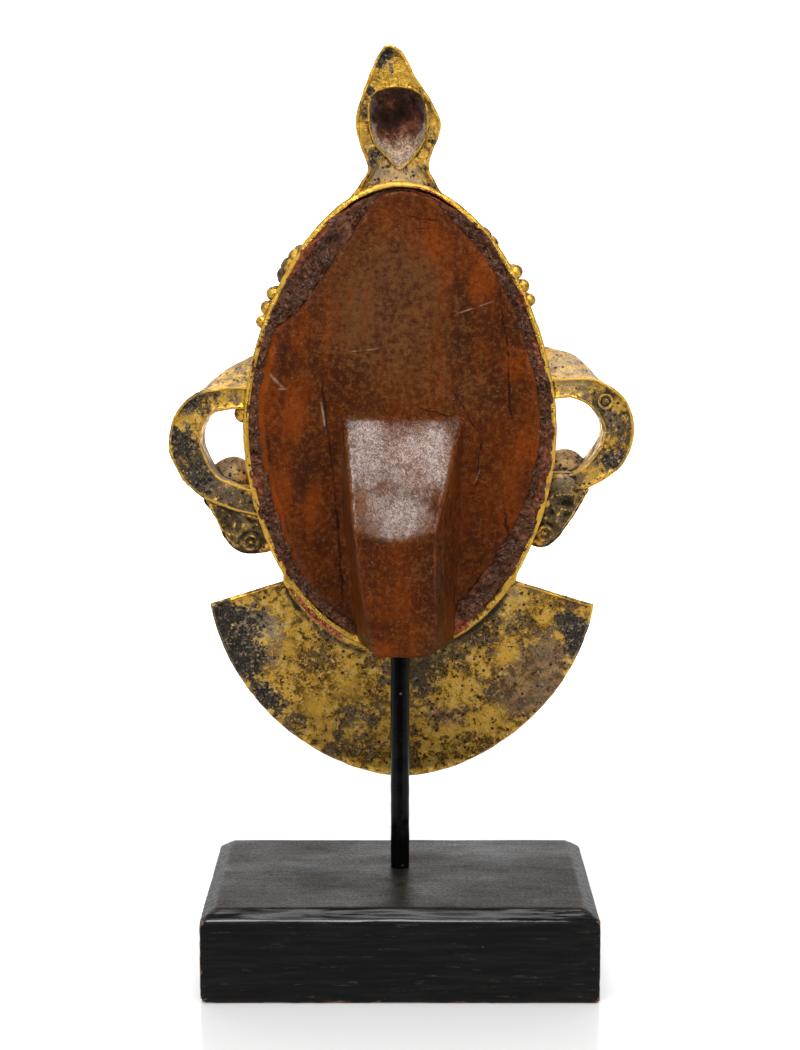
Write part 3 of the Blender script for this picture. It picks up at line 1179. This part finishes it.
def brassMaterial():
    material, here = newMaterial("aged brass")
    broad = noise(here, 34, 0.11, 5, 0.6)
    patchy = noise(here, 11, 0.23, 6, 0.65)
    fine = noise(here, 3.2, 0.37, 5, 0.62)
    grit = noise(here, 1.3, 0.51, 4, 0.62, distortion=0.8)
    worms = curls(here, 3.4, 0.93)
    bent = wobbled(here, 2.2, 1.8)
    sandy = fine * 0.5 + grit * 0.5
    blotchy = patchy * 0.5 + fine * 0.5
    edge, hollow, clean, front, dusty, pale = map(kept, ("edge", "hollow", "clean", "front", "dust", "pale"))

    # where each kind of wear lies, from 0 to 1; the front has less of all
    bigPits = dots(bent, 4.2, 0.31, 0.17, 0.27, "MANHATTAN") * noise(here, 14, 0.67, 3, 0.5).ramp(0.38, 0.52)
    smallPits = dots(bent, 2.5, 0.77, 0.23, 0.3, "MANHATTAN") * noise(here, 8, 0.81, 3, 0.5).ramp(0.34, 0.48)
    roundPits = dots(here, 3.7, 0.19, 0.16, 0.23) * noise(here, 17, 0.29, 3, 0.5).ramp(0.4, 0.48)
    pits = bigPits.most(smallPits * 0.9).most(roundPits) * (1 - front * 0.75)
    uneven = (patchy - 0.5) * 1.1 + (fine - 0.5) * 1.3 + (grit - 0.5) * 0.8
    drift = (broad - 0.5) * 0.8
    tarnish = (kept("tarnish") * 0.55 + drift + uneven + hollow * 0.15).ramp(0.22, 0.4) * (1 - front * 0.75)
    grime = (kept("grime") * 0.5 + uneven * 0.8 + drift + hollow * 0.4).ramp(0.16, 0.46) * (1 - front * 0.5)
    mauve = (kept("mauve") * 0.6 + uneven * 0.8 + drift).ramp(0.14, 0.4) * (1 - front * 0.5)
    dust = (dusty * 0.6 + uneven * 0.8 + hollow * 0.25).ramp(0.1, 0.6) * (1 - front * 0.7)
    marks = worms.ramp(0.07, 0.02) * patchy.ramp(0.42, 0.56) * (1 - front * 0.6)
    marks = marks * (1 - dust * 0.7) * (1 - clean * 0.5)
    speckle = sandy.ramp(0.53, 0.585)
    resin = (kept("resin") * 1.1 + (fine - 0.5) * 1.5).ramp(0.4, 0.56)
    polished = (edge * 1.5 + clean * 0.85 + (fine - 0.5) * (1.4 - front * 0.9)).ramp(0.35, 0.85)
    polished = polished * (1 - tarnish * (1 - edge * 0.6))
    earth = kept("earth")

    stain = layered(blend((140, 100, 80), (80, 54, 42), fine.ramp(0.44, 0.54)), [
        ((204, 180, 160), worms.ramp(0.07, 0.03) * grit.ramp(0.44, 0.56) * 0.6),
    ])
    crustLines = worms.ramp(0.06, 0.025) * (dusty * 0.9 + 0.12)
    paleCrust = (sandy + dusty * 0.06 - 0.015).ramp(0.5, 0.6).most(crustLines)
    soot = layered(blend((25, 21, 17), (166, 142, 110), paleCrust), [
        ((16, 13, 11), cells(bent, 3.6, 0.57, "MANHATTAN").ramp(0.46, 0.36)),
    ])
    soil = layered(blend((140, 82, 52), (206, 126, 92), blotchy.ramp(0.42, 0.58)), [
        ((248, 212, 176), (pale * 0.9 + (fine - 0.5) * 1.6 + (patchy - 0.5) * 1.4).ramp(0.35, 0.85)),
        ((218, 198, 174), (kept("crust") * 0.9 + (fine - 0.5) * 3.0).ramp(0.4, 0.9) * 0.85),
        ((58, 34, 22), worms.ramp(0.07, 0.02) * 0.6),
        ((40, 22, 12), (pale + (patchy - 0.5) * 1.6).ramp(0.4, 0.1) * 0.75),
    ])
    colour = layered(blend((250, 198, 84), (214, 158, 60), patchy.ramp(0.35, 0.62)), [
        ((118, 88, 48), blotchy.ramp(0.49, 0.55) * (0.76 - clean * 0.6 - front * 0.5)),
        ((250, 222, 148), sandy.ramp(0.47, 0.4) * (0.8 - front * 0.6)),
        ((150, 108, 52), broad.ramp(0.42, 0.6) * front * 0.4),
        (stain, mauve * 0.75),
        (blend((58, 46, 34), (138, 118, 88), sandy.ramp(0.44, 0.58)), grime * 0.85),
        ((214, 190, 150), dust * 0.7),
        ((54, 40, 26), speckle.most(marks) * (0.85 - front * 0.5 - dust * 0.35)),
        (soot, tarnish),
        ((30, 22, 15), pits * 0.92),
        ((254, 200, 80), polished * 0.88),
        ((58, 42, 26), (hollow * (0.5 + fine)).ramp(0.3, 0.75) * 0.85),
        (blend((140, 58, 28), (216, 138, 92), sandy.ramp(0.42, 0.6)), resin),
        (soil, earth),
    ])

    cover = tarnish.most(dust * 0.75).most(mauve * 0.5).most(pits * 0.8).most(resin).most(grime * 0.8)
    metal = (1 - cover * 0.85).most(polished * 0.9) * (1 - earth)
    rough = level(0.44, 0.7, cover.most(earth)) - polished * 0.16 - resin * 0.35 + (fine - 0.5) * 0.3
    height = (patchy - 0.5) * 0.45 + (fine - 0.5) * 0.5 + (grit - 0.5) * 0.28 - pits * 0.4 - marks * 0.15
    height = height + tarnish * 0.08 + grime * (grit - 0.5) * 0.5 + earth * ((fine - 0.5) * 2.6 - worms * 3.0)
    surface({"Base Color": colour, "Metallic": metal, "Roughness": rough}, height)
    return material


def scar(where, first, last, width, wander):
    # a thin line on the back of the wood from first to last (x and z in mm): 1 on it, 0 away from it
    (x0, z0), (x1, z1) = first, last
    length = math.hypot(x1 - x0, z1 - z0)
    along = ((x1 - x0) / length, (z1 - z0) / length)

    def measured(direction):
        offset = -(x0 * direction[0] + z0 * direction[1])
        dot = Shade.node("ShaderNodeVectorMath", {"operation": "DOT_PRODUCT"},
                         {0: where, 1: (direction[0] * 1000, 0, direction[1] * 1000)}, 1)
        return dot + offset
    run = measured(along)
    side = measured((-along[1], along[0])) + wander
    ends = run.ramp(-1, 3) * (length - run).ramp(-1, 3)
    return (1 - side.maths("ABSOLUTE").ramp(width * 0.4, width)) * ends


def scars(where, lines, wander):
    drawn = [scar(where, *line, wander) for line in lines]
    together = drawn[0]
    for line in drawn[1:]:
        together = together.most(line)
    return together


def woodMaterial():
    material, here = newMaterial("waxed wood")
    broad = noise(here, 46, 0.13, 4, 0.55)
    streak = noise(here, 9, 0.29, 6, 0.62, (1, 1, 0.22))
    blotch = noise(here, 13, 0.41, 5, 0.6)
    fine = noise(here, 2.2, 0.57, 5, 0.66)
    grit = noise(here, 1.0, 0.71, 2, 0.6)
    wrinkles = curls(here, 2.2, 0.45)
    crest = wrinkles.ramp(0.1, 0.03)
    edge, hollow, worn = kept("edge"), kept("hollow"), kept("worn")
    wander = (noise(here, 8, 0.9, 4, 0.65) - 0.5) * 4.0
    cracks = scars(here, wood["cracks"], wander) * (blotch * 0.5 + fine * 0.5).ramp(0.4, 0.52)
    scratches = scars(here, wood["scratches"], wander * 0.25) * fine.ramp(0.3, 0.6)
    specks = dots(here, 2.7, 0.61, 0.05, 0.09) * noise(here, 7, 0.33, 2, 0.5).ramp(0.45, 0.6)
    darkSpecks = dots(here, 2.6, 0.83, 0.07, 0.14) * noise(here, 16, 0.21, 2, 0.5).ramp(0.4, 0.6)
    sheen = (kept("sheen") * ((fine - 0.5) * 1.6 + (blotch - 0.5) * 0.5 + 0.95)).ramp(0.1, 0.85)
    colour = layered(blend((108, 47, 2), (72, 32, 3), (broad * 0.6 + blotch * 0.4).ramp(0.4, 0.6)), [
        ((116, 76, 42), (kept("grey") + (fine - 0.5) * 1.4).ramp(0.1, 1.0) * 0.7),
        ((150, 64, 3), (kept("warm") + (streak - 0.5) * 1.6).ramp(0.1, 0.8) * 0.65),
        ((136, 62, 10), streak.ramp(0.54, 0.72) * 0.4),
        ((150, 92, 46), crest * fine.ramp(0.46, 0.6) * 0.4),
        ((44, 20, 5), wrinkles.ramp(0.12, 0.24) * 0.4),
        ((50, 24, 8), fine.ramp(0.44, 0.34) * 0.3),
        ((64, 30, 18), (streak * 0.5 + fine * 0.5).ramp(0.5, 0.38) * 0.6),
        ((52, 26, 17), hollow * 0.75),
        ((158, 80, 20), (edge * 1.1 + (blotch - 0.5) * 2).ramp(0.3, 0.9) * 0.5),
        ((168, 78, 8), (worn * 1.0 + (blotch - 0.5) * 2.4).ramp(0.3, 1.0) * 0.65),
        ((38, 18, 12), darkSpecks * 0.7),
        ((30, 14, 10), cracks * 0.85),
        ((176, 148, 124), specks.most(scratches) * 0.75),
        ((146, 94, 54), sheen * 0.4),
    ])
    rough = level(0.3, 0.46, fine.ramp(0.35, 0.65)) + hollow * 0.1 - sheen * 0.06
    height = (fine - 0.5) * 0.2 + (grit - 0.5) * 0.06 + (streak - 0.5) * 0.3 - wrinkles * (1.1 + sheen * 0.9)
    height = height - cracks * 0.4 - darkSpecks * 0.1
    wax = (sheen * (crest * 0.68 + 0.38)).most(crest * 0.2)
    surface({"Base Color": colour, "Roughness": rough, "Specular IOR Level": 0.07, "Coat Weight": wax,
             "Coat Roughness": 0.26}, height)
    return material


def pitchMaterial():
    material, here = newMaterial("set pitch")
    blotch = noise(here, 9, 0.17, 5, 0.6)
    fine = noise(here, 2.0, 0.43, 5, 0.65)
    grit = noise(here, 0.7, 0.59, 3, 0.6)
    wrinkles = curls(here, 3.6, 0.75)
    resin = (kept("resin") + (fine - 0.5) * 0.8).ramp(0.3, 0.6)
    colour = layered(blend((82, 44, 20), (116, 64, 30), blotch.ramp(0.4, 0.62)), [
        ((32, 17, 9), wrinkles.ramp(0.1, 0.24) * 0.75),
        ((164, 128, 104), wrinkles.ramp(0.07, 0.02) * grit.ramp(0.45, 0.58) * 0.5),
        (blend((108, 42, 20), (164, 84, 40), fine.ramp(0.4, 0.6)), resin * 0.9),
    ])
    height = (fine - 0.5) * 0.35 + (grit - 0.5) * 0.1 + (blotch - 0.5) * 0.4
    height = height - wrinkles * 3.4 * (1 - resin * 0.7)
    surface({"Base Color": colour, "Roughness": level(0.16, 0.34, blotch.ramp(0.35, 0.65)),
             "Specular IOR Level": 0.42}, height)
    return material


def rodMaterial():
    material, here = newMaterial("black steel")
    fine = noise(here, 2.2, 0.19, 4, 0.6)
    chips = dots(here, 6.5, 0.47, 0.06, 0.11) * noise(here, 20, 0.66, 2, 0.5).ramp(0.5, 0.6)
    colour = layered(blend((5, 5, 5), (116, 98, 84), chips), [((18, 17, 16), fine.ramp(0.56, 0.7) * 0.5)])
    rough = level(0.1, 0.24, fine.ramp(0.4, 0.65))
    height = (fine - 0.5) * 0.1 - chips * 0.15
    surface({"Base Color": colour, "Roughness": rough, "Specular IOR Level": 0.12}, height)
    return material


def plinthMaterial():
    material, here = newMaterial("black painted wood")
    grain = noise(here, 2.4, 0.27, 5, 0.62, (0.07, 1, 1))
    broad = noise(here, 26, 0.39, 4, 0.6, (0.5, 1, 1))
    fine = noise(here, 1.2, 0.53, 4, 0.6)
    edge, top, gloss = kept("edge"), kept("top"), kept("gloss")
    wear = (edge * 1.0 + (noise(here, 5, 0.73, 6, 0.7, (0.5, 1, 1)) - 0.5) * 2.2).ramp(0.6, 0.8)
    specks = dots(here, 7, 0.87, 0.03, 0.06) * broad.ramp(0.5, 0.62)
    flecks = (noise(here, 1.1, 0.19, 3, 0.6, (0.09, 1, 1)) * 0.8 + fine * 0.2).ramp(0.6, 0.68)
    topColour = blend((18, 14, 11), (40, 32, 25), (grain * 0.35 + broad * 0.65).ramp(0.4, 0.6))
    colour = layered(blend((20, 20, 20), (30, 29, 28), grain.ramp(0.42, 0.66)), [
        (topColour, top),
        ((66, 54, 46), (grain * 0.55 + broad * 0.45).ramp(0.62, 0.72) * 0.15),
        ((132, 94, 70), wear * 0.75),
        ((150, 140, 130), specks * 0.6),
        ((92, 86, 80), flecks * 0.3),
    ])
    rough = level(0.34, 0.5, fine.ramp(0.35, 0.65)) + wear * 0.15 + top * (broad - 0.5) * 0.9
    height = (grain - 0.5) * 0.5 * (1 - top * 0.85) + (fine - 0.5) * 0.1 - wear * 0.2
    height = height + gloss * (noise(here, 1.8, 0.61, 5, 0.65, (0.4, 1, 1)) - 0.5) * 2.6
    surface({"Base Color": colour, "Roughness": rough, "Specular IOR Level": 0.075,
             "Coat Weight": gloss * grain.ramp(0.4, 0.52), "Coat Roughness": 0.14}, height)
    return material


pieces = [
    (brassCasting, "brass_mask", "brass", brassMaterial),
    (woodPiece, "wood_block", "waxed_wood", woodMaterial),
    (pitchPiece, "pitch_bedding", "pitch", pitchMaterial),
    (rodPiece, "rod", "black_steel", rodMaterial),
    (plinthPiece, "plinth", "black_wood", plinthMaterial),
]
for shape, node, slot, material in pieces:
    made = shape()
    made.data.materials.clear()
    made.data.materials.append(material())
    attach(made, "root")
    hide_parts(node)
    print(made.name, len(made.data.polygons), "faces")


# Studio: white sweep, soft overhead light towards the camera, and two weaker lights beside the camera

studio = {
    "halfWidth": 4.0, "nearY": 3.0, "bendY": -1.6, "bendRadius": 1.2, "topZ": 4.0,
    "eye": (0, 0.898, 0.309), "downDegrees": 7.84, "focalPixels": 2200, "framePixels": 1050, "sensor": 36,
    "lights": [
        ("overhead", (0.06, 0.6, 1.5), (0, 0, 0.2), 0.6, 0.5, 11),
        ("left fill", (1.0, 1.1, 0.7), (0, 0, 0.2), 0.7, 0.9, 4.6),
        ("right fill", (-1.1, 1.0, 0.6), (0, 0, 0.2), 0.7, 0.9, 4.6),
        ("top strip", (0, -0.05, 1.9), (0, 0.03, 0.1), 0.9, 0.12, 1.2),
    ],
}


def grey(value):
    return (value, value, value, 1)


def sweepPiece():
    bendTurn = np.linspace(0, math.pi / 2, 24)
    y = studio["bendY"] - studio["bendRadius"] * np.sin(bendTurn)
    z = studio["bendRadius"] * (1 - np.cos(bendTurn))
    line = np.vstack([[studio["nearY"], 0], np.column_stack([y, z]), [y[-1], studio["topZ"]]])
    half = studio["halfWidth"]
    points = np.vstack([np.column_stack([np.full(len(line), side), line]) for side in (-half, half)])
    count = len(line)
    index = np.arange(count - 1)
    faces = np.column_stack([index, index + 1, index + 1 + count, index + count]).tolist()
    made = newObject("white sweep", points / metre, faces)
    made.data.shade_smooth()
    material, here = newMaterial("white sweep")
    along = Shade.node("ShaderNodeSeparateXYZ", {}, {0: here}, 1)
    nearness = along.ramp(0.12, 0.3)
    behind = blend(grey(1.1), grey(0.085), along.ramp(-0.8, -0.15))
    surface({"Base Color": blend(grey(0.85), grey(0.1), nearness), "Roughness": 0.2,
             "Emission Color": blend(behind, grey(0), nearness), "Emission Strength": 1.0})
    made.data.materials.append(material)


def softbox(name, location, target, width, height, power):
    light = bpy.data.lights.new(name, "AREA")
    light.shape = "RECTANGLE"
    light.size, light.size_y = width, height
    light.energy = power
    made = bpy.data.objects.new(name, light)
    bpy.context.scene.collection.objects.link(made)
    made.location = location
    way = np.subtract(target, location)
    flatLength = math.hypot(way[0], way[1])
    made.rotation_euler = (math.atan2(flatLength, -way[2]), 0, math.atan2(-way[0], way[1]))


def setWorld():
    world = bpy.data.worlds.new("soft room")
    bpy.context.scene.world = world
    world.use_nodes = True
    Shade.tree = world.node_tree
    way = Shade.node("ShaderNodeTexCoord", output="Generated")
    split = Shade.node("ShaderNodeSeparateXYZ", {}, {0: way}, 2)
    fill(Shade.tree.nodes["Background"], {
        "Color": blend(grey(0.09), grey(0.7), split.ramp(0.05, 1.0)), "Strength": 1.0,
    })


def setCamera():
    eye = bpy.data.cameras.new("camera")
    eye.sensor_width = studio["sensor"]
    eye.lens = studio["sensor"] * studio["focalPixels"] / studio["framePixels"]
    seat = bpy.data.objects.new("camera", eye)
    bpy.context.scene.collection.objects.link(seat)
    seat.location = studio["eye"]
    seat.rotation_euler = (math.radians(90 - studio["downDegrees"]), 0, math.radians(180))
    bpy.context.scene.camera = seat


sweepPiece()
for values in studio["lights"]:
    softbox(*values)
setWorld()
setCamera()
bpy.context.scene.view_settings.view_transform = "Standard"
bpy.context.scene.view_settings.look = "None"
print("studio set")
